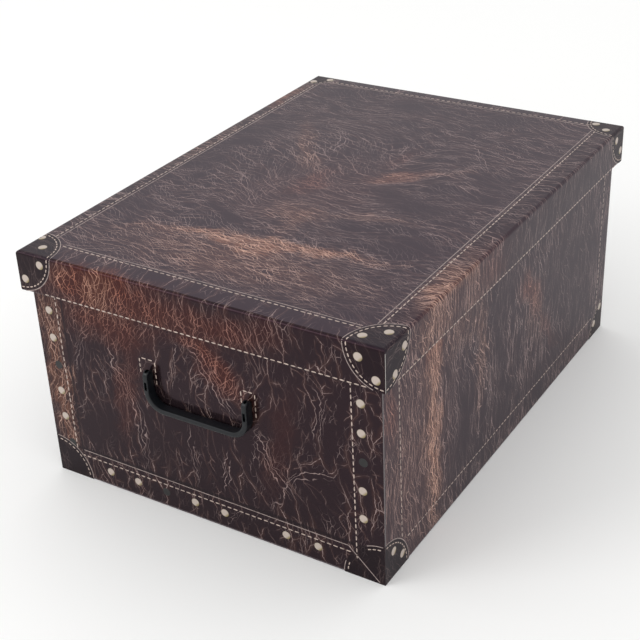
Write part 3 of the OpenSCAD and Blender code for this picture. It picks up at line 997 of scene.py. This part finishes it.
class STORAGEBOX_OT_print_tray(bpy.types.Operator):
    """Gives the tray's panels, the folded layers inside the lid and the handle anchors their finishes."""

    bl_idname = "storagebox.print_tray"
    bl_label = "Print the tray"

    def execute(self, context):
        look = context.scene.storagebox_print
        board = bpy.data.materials["grey_board"]
        end_patches = [(hand * TRAY_HALF_W / MM, 0, r, r) for hand, r in TRAY_END_PATCHES.items()]
        side_patches = [(hand * TRAY_HALF_L / MM, 0, r, r) for hand, r in TRAY_SIDE_PATCHES.items()]
        for name, side in (("front", -1), ("back", 1)):
            ink = leather(f"laminated_leather_print_{name}_end", look, wall_map(0, -side), 90, END_RUST,
                          END_TAN, END_NETS, twists=END_TWISTS, calm=END_CALM, long_cracks=END_LONG,
                          patches=end_patches, seams=END_SEAMS, outside=(1, side), gloss=0.23,
                          tint=look.end_haze, rough=(0.12, 0.2))
            self.dress(f"{name}_end_wall", ink)
        for name, side in (("right", 1), ("left", -1)):
            ink = leather(f"laminated_leather_print_{name}_side", look, wall_map(1, side), 90, SIDE_RUST,
                          SIDE_TAN, SIDE_NETS, wander=(2.2, 0.8), calm=SIDE_CALM, long_cracks=SIDE_LONG,
                          patches=side_patches, outside=(0, side), gloss=0.39)
            self.dress(f"{name}_side_wall", ink)
        inner = leather("laminated_leather_print_folded_in", look, wall_map(0, 1), 90, INNER_RUST, INNER_TAN,
                        END_NETS)
        under = leather("laminated_leather_print_under_base", look, self.base_map, 90, INNER_RUST, INNER_TAN,
                        END_NETS, outside=(2, -1))
        self.dress("base_panel", under)
        for node in frame["nodes"]:
            if node.endswith("_return"):
                self.dress(node, inner)
            elif node.endswith("_flap"):
                self.dress(node, board)
            elif node.endswith("_anchor"):
                self.dress(node, moulded_plastic(context.scene.storagebox_handle))
        return {"FINISHED"}

    def base_map(self, tree):
        """Place on the base, straight from Object coordinates."""
        return object_place(tree)

    def dress(self, node, material):
        """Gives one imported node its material."""
        data = frame["nodes"][node].data
        data.materials.clear()
        data.materials.append(material)


class STORAGEBOX_OT_patch(bpy.types.Operator):
    """Lays the black corner patches, whose thicker ink takes the shine off the film."""

    bl_idname = "storagebox.patch"
    bl_label = "Print the corner patches"

    def execute(self, context):
        look = context.scene.storagebox_print
        inks = {
            "top": leather("black_leather_print_top_patches", look, sheet_map, -10, (), (), TOP_NETS,
                           patches=WHOLE_SHEET, gloss=0.25),
            "end": leather("black_leather_print_end_patches", look, sheet_map, 90, (), (), END_NETS,
                           patches=WHOLE_SHEET, gloss=0.2, tint=look.end_haze, rough=(0.16, 0.26)),
            "side": leather("black_leather_print_side_patches", look, sheet_map, 90, (), (), SIDE_NETS,
                            patches=WHOLE_SHEET, gloss=0.2),
        }
        film = 0.4 * look.film
        self.lid(inks, film)
        self.tray(inks, film)
        return {"FINISHED"}

    def lid(self, inks, film):
        """Patches on the top, the end skirts and the side skirts, which go round the folds to the hems."""
        limits = {"top": (1, 1), "end": (1, skirt_v(SKIRT_LOW)), "side": (skirt_u(SKIRT_LOW), 1)}
        for panel, ink in inks.items():
            sheets = Decals()
            for corner in LID_PATCHES:
                reach = np.array(patch_reach(panel, corner)) * MM
                toward = (corner[0] if panel == "side" else -corner[0],
                          corner[1] if panel == "end" else -corner[1])
                lay_patch(sheets, lid_panel(panel), lid_patch_centre(corner), reach, toward, film,
                          limits[panel])
            sheets.piece(f"lid_{panel}_patches", "lid", "printed_board", ink, uv_name="Sheet")

    def tray(self, inks, film):
        """Quarter discs at the foot of the ends and the side walls."""
        for panel, on_face, half, reaches in (("end", on_end, TRAY_HALF_W, TRAY_END_PATCHES),
                                              ("side", on_side, TRAY_HALF_L, TRAY_SIDE_PATCHES)):
            sheets = Decals()
            for side in (-1, 1):
                for hand, radius in reaches.items():
                    reach = (radius * MM, radius * MM)
                    lay_patch(sheets, on_face(side), (hand * half, 0), reach, (-hand, 1), film)
            sheets.piece(f"tray_{panel}_patches", "tray", "printed_board", inks[panel], uv_name="Sheet")


# Distance from the outline of a corner patch to the stitches inside it, in mm
LID_PATCH_STITCHES = 3.3
TRAY_PATCH_STITCHES = 3.6
# Height that the stitches of a strap end at, in mm, which the lid's skirt hides
STRAP_TOP = WALL_HIGH.z / MM - 6
# Straight rows of stitches and straight thin lines, each from one place to another, in mm
TOP_STITCHES = [
    ((-171.1, -218), (-171.1, 224)), ((164.6, -221), (164.6, 226)), ((-153, -229.6), (153, -233.4)),
    ((-160, 241), (154, 241)),
]
TOP_LINES = [
    ((-167.4, -220), (-167.4, 230)), ((160.5, -222), (160.5, 228)), ((-152, -226.2), (152, -230)),
    ((-160, 237.4), (154, 237.4)),
]
END_STITCHES = [
    ((-153.5, 31), (-153.5, STRAP_TOP)), ((151, 18), (149.3, STRAP_TOP)), ((-150, 25.6), (146, 23.8)),
]
END_LINES = [((-145.5, 31.8), (143, 29.8)), ((143, 29.8), (172.5, 1.5))]
SIDE_STITCHES = [
    ((-218, 30), (-221.6, STRAP_TOP)), ((228, 30), (228, STRAP_TOP)), ((-209, 25.3), (217, 25.3)),
]


class STORAGEBOX_OT_stitch(bpy.types.Operator):
    """Lays the printed stitches and the thin lines beside them."""

    bl_idname = "storagebox.stitch"
    bl_label = "Print the stitching"

    def execute(self, context):
        look = context.scene.storagebox_print
        thread = printed_ink("printed_thread", look.thread)
        welt = printed_ink("printed_welt_line", look.welt)
        self.lid(look, thread, welt)
        self.tray(look, thread, welt)
        return {"FINISHED"}

    def lid(self, look, thread, welt):
        """The frame on the top, the outlines of the corner patches and the row along the hem."""
        stitches, lines = Decals(), Decals()
        for corner in LID_PATCHES:
            for panel, path in lid_patch_lines(corner, 0).items():
                lay_ribbon(lines, lid_panel(panel), path, look.line_w, look.film)
            for panel, path in lid_patch_lines(corner, LID_PATCH_STITCHES * MM).items():
                lay_stitches(stitches, lid_panel(panel), path, look, look.patch_pitch)
        self.straight_rows(stitches, lines, lid_panel("top"), TOP_STITCHES, TOP_LINES, look)
        for side in (-1, 1):
            v = side * skirt_v(SKIRT_LOW + HEM_STITCHES * MM) / MM
            left = -LID_HALF_W / MM + (27 if side < 0 else 14)
            right = LID_HALF_W / MM - (16 if side < 0 else 17)
            lay_stitches(stitches, lid_panel("end"), straight((left, v), (right, v)), look)
            u = side * skirt_u(SKIRT_LOW + HEM_STITCHES * MM) / MM
            lay_stitches(stitches, lid_panel("side"), straight((u, -236), (u, 238)), look)
        stitches.piece("lid_stitching", "lid", "printed_board", thread)
        lines.piece("lid_welt_lines", "lid", "printed_board", welt)

    def tray(self, look, thread, welt):
        """The straps up the corners, the band along the foot, the corner patches and the handle tabs."""
        stitches, lines = Decals(), Decals()
        half_w, half_l = TRAY_HALF_W / MM, TRAY_HALF_L / MM
        for side in (-1, 1):
            end = on_end(side)
            self.straight_rows(stitches, lines, end, END_STITCHES, END_LINES, look)
            for hand, reach in TRAY_END_PATCHES.items():
                self.foot_patch(stitches, lines, end, (hand * half_w, 0), reach, hand, look,
                                strap=(160.8, 13) if hand > 0 else None)
            self.handle_tab(stitches, end, -63.3, -46.7, 157, 141, 132.4, look)
            self.handle_tab(stitches, end, 43, 57, 155, 141, 130.5, look)
            wall = on_side(side)
            self.straight_rows(stitches, lines, wall, SIDE_STITCHES, (), look)
            for hand, reach in TRAY_SIDE_PATCHES.items():
                self.foot_patch(stitches, lines, wall, (hand * half_l, 0), reach, hand, look)
        stitches.piece("tray_stitching", "tray", "printed_board", thread)
        lines.piece("tray_welt_lines", "tray", "printed_board", welt)

    def straight_rows(self, stitches, lines, place, stitch_rows, line_rows, look):
        """Straight rows of stitches and straight thin lines on one face."""
        for ends in stitch_rows:
            lay_stitches(stitches, place, straight(*ends), look)
        for ends in line_rows:
            lay_ribbon(lines, place, straight(*ends), look.line_w, look.film)

    def foot_patch(self, stitches, lines, place, corner, reach, hand, look, strap=None):
        """Outline of a quarter disc at the foot of a wall: a thin line outside and stitches inside.

        strap is (along, height) of the place that a strap over the patch hides the outline between, in mm.
        """
        edge = 1.5 * MM
        for inset in (0, TRAY_PATCH_STITCHES):
            radius = (reach - inset) * MM
            path = quarter((corner[0] * MM, corner[1] * MM), (radius, radius), (-hand, 1))
            inside = (np.abs(path[:, 0]) < abs(corner[0]) * MM - edge) & (path[:, 1] > edge)
            if strap:
                inside &= (path[:, 0] > strap[0] * MM) | (path[:, 1] < strap[1] * MM)
            for part in np.split(path[inside], np.flatnonzero(np.diff(np.flatnonzero(inside)) > 1) + 1):
                if inset:
                    lay_stitches(stitches, place, part, look, look.patch_pitch)
                else:
                    lay_ribbon(lines, place, part, look.line_w, look.film)

    def handle_tab(self, stitches, place, left, right, top, left_low, right_low, look):
        """Stitches round the tab that seems to hold a handle's arm: along its top and down both sides."""
        lay_stitches(stitches, place, straight((left, left_low), (left, top)), look)
        lay_stitches(stitches, place, straight((left + 1.5, top), (right - 1.5, top)), look)
        lay_stitches(stitches, place, straight((right, right_low), (right, top)), look)


class STORAGEBOX_OT_nail(bpy.types.Operator):
    """Lays the printed nail heads and the dark holes where one seems to be missing."""

    bl_idname = "storagebox.nail"
    bl_label = "Print the nails"

    def execute(self, context):
        look = context.scene.storagebox_print
        nail = nail_print(look)
        hole = printed_ink("printed_hole", look.hole)
        radius = look.nail_d / 2
        lid = Decals()
        lid_nails = {
            "top": [(-181.3, -224.6), (-166.9, -239.4), (174.6, -229.4), (158.7, -243), (-162.8, 246),
                    (-177.6, 234), (158, 246), (173, 234.6)],
            "end": [(-158.5, 227), (-178, 209.5), (161.3, 224), (176.8, 207)],
            "side": [(-224.3, 224.3), (-239.7, 206.7), (235, 226), (248.5, 211)],
        }
        lay_discs(lid, lid_panel("top"), np.array(lid_nails["top"]) * MM, radius, look.film)
        for side in (-1, 1):
            ends = np.array([(-side * x * MM, side * skirt_v(z * MM)) for x, z in lid_nails["end"]])
            lay_discs(lid, lid_panel("end"), ends, radius, look.film)
            walls = np.array([(side * skirt_u(z * MM), side * y * MM) for y, z in lid_nails["side"]])
            lay_discs(lid, lid_panel("side"), walls, radius, look.film)
        lid.piece("lid_nails", "lid", "printed_board", nail)
        nails, holes = Decals(), Decals()
        for side in (-1, 1):
            column = 178 - NAIL_PITCH * np.arange(6)
            left = [(-162.7, z) for i, z in enumerate(column) if i not in LOST_NAILS]
            right = [(158.4, z - 1.5) for i, z in enumerate(column) if i not in LOST_NAILS]
            row = -115.3 + FOOT_NAIL_PITCH * np.arange(8)
            foot = [(x, 16.5) for i, x in enumerate(row) if i not in LOST_NAILS]
            end, wall = on_end(side), on_side(side)
            lay_discs(nails, end, np.array(left + right + foot) * MM, radius, look.film)
            lay_discs(nails, wall, np.array([(-233, 26.7), (-217.7, 13.3), (240, 28.7), (225.3, 14.3)]) * MM,
                      radius, look.film)
            gone = [(-161, column[2]), (-158.5, column[5]), (159.6, column[2] - 1), (row[2], 16.5)]
            lay_discs(holes, end, np.array(gone) * MM, radius, 0.7 * look.film)
        nails.piece("tray_nails", "tray", "printed_board", nail)
        holes.piece("tray_nail_holes", "tray", "printed_board", hole)
        return {"FINISHED"}


# Cuts in an arm, measured from the swing axis: the fork for the anchor's knuckle, the bore for its cross bar
# and the moulded pocket in the front face
FORK_HALF = 1.2 * MM
FORK_REACH = 2.8 * MM
BORE_R = 1.35 * MM
POCKET_HALF = 1.3 * MM
POCKET_LOW, POCKET_HIGH, POCKET_BACK = -13 * MM, -5 * MM, -1.8 * MM
# How far a cut is drawn past the arm's surface
PAST = 10 * MM


class STORAGEBOX_OT_handles(bpy.types.Operator):
    """Makes the two moulded handles: a rounded section carried down an arm, along the grip and up again."""

    bl_idname = "storagebox.handles"
    bl_label = "Mould the handles"

    def execute(self, context):
        settings = context.scene.storagebox_handle
        plastic = moulded_plastic(settings)
        for body, side in (("front_handle", -1), ("back_handle", 1)):
            self.handle(body, side, settings, plastic)
        return {"FINISHED"}

    def handle(self, body, side, settings, plastic):
        """One handle, drawn round its swing axis and cut for the fork, the cross bars and the pockets."""
        points, faces = self.bail(settings)
        axis_y, axis_z = SWING[body][1], SWING[body][2]
        piece = add_piece(f"{body}_moulding", self.placed(points, side, axis_y, axis_z), faces, body,
                          [plastic])
        half_span = HANDLE_HIGH.x - settings.arm_w / 2
        fork, bore, pocket = [], [], []
        for x in (-half_span, half_span):
            fork.append(box_points((x - FORK_HALF, -FORK_REACH, -FORK_REACH), (x + FORK_HALF, PAST, PAST)))
            pocket.append(box_points((x - POCKET_HALF, -PAST, POCKET_LOW),
                                     (x + POCKET_HALF, POCKET_BACK, POCKET_HIGH)))
            bore.append(rod_points(x, settings.arm_w, BORE_R))
        for name, shapes, shape_faces in (("fork", fork, BOX_FACES), ("pocket", pocket, BOX_FACES),
                                          ("bore", bore, rod_faces())):
            corners = np.concatenate(shapes)
            wanted = [[c + i * len(shapes[0]) for c in f] for i in range(len(shapes)) for f in shape_faces]
            self.cut(piece, self.placed(corners, side, axis_y, axis_z), wanted, name)
        shade_smooth(piece.data, 32)
        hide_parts(body)

    def placed(self, points, side, axis_y, axis_z):
        """Turns points round the box for the back handle and moves them to the swing axis."""
        turned = np.asarray(points, float) * np.array([-side, -side, 1.0])
        return turned + np.array([0, axis_y, axis_z])

    def bail(self, settings):
        """U-shaped bar: at each station along its line a rectangle with round corners.

        The arms end in a half round about the swing axis, where the depth follows the circle.
        """
        depth = (HANDLE_HIGH.y - HANDLE_LOW.y) / 2
        outer_x = HANDLE_HIGH.x
        low = HANDLE_LOW.z - SWING["front_handle"][2]
        inner_r = settings.inner_r
        centre_x = outer_x - settings.arm_w - inner_r
        centre_z = low + settings.grip_h + inner_r
        crown = np.linspace(math.pi / 2 * 0.97, 0, 8)
        shank = np.linspace(-2 * MM, centre_z, 6)
        arm = np.ones(len(crown) + len(shank))
        turn = np.linspace(0, math.pi / 2, 15)[1:]
        turned = turn / (math.pi / 2)
        width = settings.arm_w + (settings.grip_h - settings.arm_w) * turned
        radius = inner_r + width / 2
        x = np.concatenate([arm * (outer_x - settings.arm_w / 2), centre_x + radius * np.cos(turn)])
        z = np.concatenate([depth * np.sin(crown), shank, centre_z - radius * np.sin(turn)])
        out_x = np.concatenate([arm, np.cos(turn)])
        out_z = np.concatenate([0 * arm, -np.sin(turn)])
        half_w = np.concatenate([arm * settings.arm_w / 2, width / 2])
        half_d = np.concatenate([depth * np.cos(crown), np.full(len(shank) + len(turn), depth)])
        soft = np.concatenate([arm * settings.edge_r,
                               settings.edge_r + (settings.soft_r - settings.edge_r) * turned])
        columns = [x, z, out_x, out_z, half_w, half_d, soft]
        mirror = [-1, 1, -1, 1, 1, 1, 1]
        line = [np.concatenate([c, m * c[::-1]]) for c, m in zip(columns, mirror)]
        x, z, out_x, out_z, half_w, half_d, soft = line
        outward, inward = rounded_section(half_w, half_d, soft, settings.edge_r)
        points = np.stack([x[:, None] + out_x[:, None] * outward, inward,
                           z[:, None] + out_z[:, None] * outward], axis=-1)
        rows, count = points.shape[:2]
        faces = [list(f) for f in grid_faces(rows, count, closed=True)]
        faces.append(list(range(count))[::-1])
        faces.append(list(range((rows - 1) * count, rows * count)))
        return points.reshape(-1, 3), faces

    def cut(self, piece, points, faces, name):
        """Takes a closed shape out of the piece."""
        mesh = bpy.data.meshes.new(name)
        mesh.from_pydata(points.tolist(), [], faces)
        face_outward(mesh)
        cutter = bpy.data.objects.new(name, mesh)
        bpy.context.scene.collection.objects.link(cutter)
        modifier = piece.modifiers.new(name, "BOOLEAN")
        modifier.operation = "DIFFERENCE"
        modifier.solver = "EXACT"
        modifier.object = cutter
        bpy.context.view_layer.update()
        evaluated = piece.evaluated_get(bpy.context.evaluated_depsgraph_get())
        finished = bpy.data.meshes.new_from_object(evaluated)
        piece.modifiers.remove(modifier)
        piece.data = finished
        bpy.data.objects.remove(cutter)


BOX_FACES = [[0, 1, 3, 2], [4, 6, 7, 5], [0, 4, 5, 1], [2, 3, 7, 6], [0, 2, 6, 4], [1, 5, 7, 3]]
ROD_SIDES = 24


def box_points(low, high):
    """Corners of a block between two opposite corners."""
    return np.array([(x, y, z) for x in (low[0], high[0]) for y in (low[1], high[1])
                     for z in (low[2], high[2])])


def rod_points(x, width, radius):
    """Points of a rod along X through the swing axis, a little longer than the arm is wide."""
    angle = np.arange(ROD_SIDES) / ROD_SIDES * 2 * math.pi
    ring = np.stack([np.zeros(ROD_SIDES), radius * np.cos(angle), radius * np.sin(angle)], axis=-1)
    half = np.array([width / 2 + 1 * MM, 0, 0])
    centre = np.array([x, 0, 0])
    return np.concatenate([ring + centre - half, ring + centre + half])


def rod_faces():
    """Faces of the rod: its wall and its two ends."""
    wall = [list(f) for f in grid_faces(2, ROD_SIDES, closed=True)]
    return wall + [list(range(ROD_SIDES))[::-1], list(range(ROD_SIDES, 2 * ROD_SIDES))]


def rounded_section(half_w, half_d, outer_r, inner_r):
    """Rectangles with round corners, one for each station: returns the two coordinates of their points.

    The first coordinate runs from the inner to the outer side, where the corners have a radius of their own.
    """
    angle = np.linspace(0, math.pi / 2, 5)
    outward, sideways = [], []
    for number, (a, b) in enumerate(((1, 1), (-1, 1), (-1, -1), (1, -1))):
        radius = np.minimum(outer_r if a > 0 else np.full_like(half_w, inner_r),
                            0.95 * np.minimum(half_w, half_d))[:, None]
        swept = angle + number * math.pi / 2
        outward.append(a * (half_w[:, None] - radius) + radius * np.cos(swept))
        sideways.append(b * (half_d[:, None] - radius) + radius * np.sin(swept))
    return np.concatenate(outward, axis=1), np.concatenate(sideways, axis=1)


def placed_frame(right, up, back, place):
    """Matrix that turns an object's axes to right, up and back and moves it to its place."""
    columns = np.eye(4)
    columns[:3, :4] = np.stack([right, up, back, place], axis=-1)
    return Matrix(columns.tolist())


# Half the width of the floor sheet, and the soft light's width, its place and the point that it faces
FLOOR_HALF = 9.0
KEY_SIZE = 1.2
KEY_PLACE = (-1.3, -1.8, 1.5)
KEY_AIM = (0, 0, 0.1)


class STORAGEBOX_OT_stage(bpy.types.Operator):
    """Makes the camera, the pale floor and the soft studio light."""

    bl_idname = "storagebox.stage"
    bl_label = "Set the stage"

    def execute(self, context):
        settings = context.scene.storagebox_stage
        self.camera(context, settings)
        self.floor(context, settings)
        self.light(context, settings)
        return {"FINISHED"}

    def camera(self, context, settings):
        """Camera at the photograph's viewing angle: it looks along -back and is rolled about that line."""
        a, e, r = settings.azimuth, settings.elevation, settings.roll
        back = np.array([math.sin(a) * math.cos(e), -math.cos(a) * math.cos(e), math.sin(e)])
        level = np.array([math.cos(a), math.sin(a), 0.0])
        up = np.cross(back, level)
        right = math.cos(r) * level + math.sin(r) * up
        upward = -math.sin(r) * level + math.cos(r) * up
        data = bpy.data.cameras.new("camera")
        data.sensor_width = 36
        data.lens = settings.lens
        data.clip_start, data.clip_end = 0.05, 60
        camera = bpy.data.objects.new("camera", data)
        camera.matrix_world = placed_frame(right, upward, back, settings.place)
        context.scene.collection.objects.link(camera)
        context.scene.camera = camera

    def floor(self, context, settings):
        """Large plain sheet of pale paper under the box, which gives it a soft matte shadow."""
        material, tree, out = new_material("pale_floor_paper")
        shaded(material, tree, out,
               {"Base Color": rgba(settings.floor), "Roughness": 0.9, "Specular IOR Level": 0.1})
        half = FLOOR_HALF
        mesh = bpy.data.meshes.new("floor")
        mesh.from_pydata([(-half, -half, 0), (half, -half, 0), (half, half, 0), (-half, half, 0)], [],
                         [(0, 1, 2, 3)])
        mesh.materials.append(material)
        floor = bpy.data.objects.new("floor", mesh)
        context.scene.collection.objects.link(floor)

    def light(self, context, settings):
        """Even white surroundings and a large soft light at the front left."""
        world = bpy.data.worlds.new("white_surroundings")
        world.use_nodes = True
        background = world.node_tree.nodes["Background"]
        background.inputs["Color"].default_value = (1, 1, 1, 1)
        background.inputs["Strength"].default_value = settings.sky
        context.scene.world = world
        context.scene.view_settings.view_transform = "Standard"
        lamp = bpy.data.lights.new("soft_key", "AREA")
        lamp.size = KEY_SIZE
        lamp.energy = settings.key
        key = bpy.data.objects.new("soft_key", lamp)
        place = np.array(KEY_PLACE)
        back = place - np.array(KEY_AIM)
        back /= np.linalg.norm(back)
        level = np.cross([0, 0, 1], back)
        level /= np.linalg.norm(level)
        key.matrix_world = placed_frame(level, np.cross(back, level), back, place)
        context.scene.collection.objects.link(key)


class STORAGEBOX_PT_panel(bpy.types.Panel):
    """Lists the steps that dress the box."""

    bl_idname = "STORAGEBOX_PT_panel"
    bl_label = "Storage box"
    bl_space_type = "VIEW_3D"
    bl_region_type = "UI"
    bl_category = "Storage box"

    def draw(self, context):
        for group in GROUPS:
            settings = getattr(context.scene, group)
            box = self.layout.box()
            for name in settings.__annotations__:
                box.prop(settings, name)
        for operator in OPERATORS:
            self.layout.operator(operator.bl_idname)


GROUPS = {
    "storagebox_print": PrintSettings,
    "storagebox_handle": HandleSettings,
    "storagebox_stage": StageSettings,
}
OPERATORS = (STORAGEBOX_OT_stage, STORAGEBOX_OT_fold_lid, STORAGEBOX_OT_print_tray, STORAGEBOX_OT_patch,
             STORAGEBOX_OT_stitch, STORAGEBOX_OT_nail, STORAGEBOX_OT_handles)


def register():
    """Registers the classes and puts the settings on the scene."""
    for item in (*GROUPS.values(), *OPERATORS, STORAGEBOX_PT_panel):
        bpy.utils.register_class(item)
    for name, group in GROUPS.items():
        setattr(bpy.types.Scene, name, PointerProperty(type=group))


def unregister():
    """Takes the settings and the classes away again."""
    for name in GROUPS:
        delattr(bpy.types.Scene, name)
    for item in reversed((*GROUPS.values(), *OPERATORS, STORAGEBOX_PT_panel)):
        bpy.utils.unregister_class(item)


def main():
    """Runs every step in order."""
    register()
    bpy.ops.storagebox.stage()
    bpy.ops.storagebox.fold_lid()
    bpy.ops.storagebox.print_tray()
    bpy.ops.storagebox.patch()
    bpy.ops.storagebox.stitch()
    bpy.ops.storagebox.nail()
    bpy.ops.storagebox.handles()


if __name__ == "__main__":
    main()
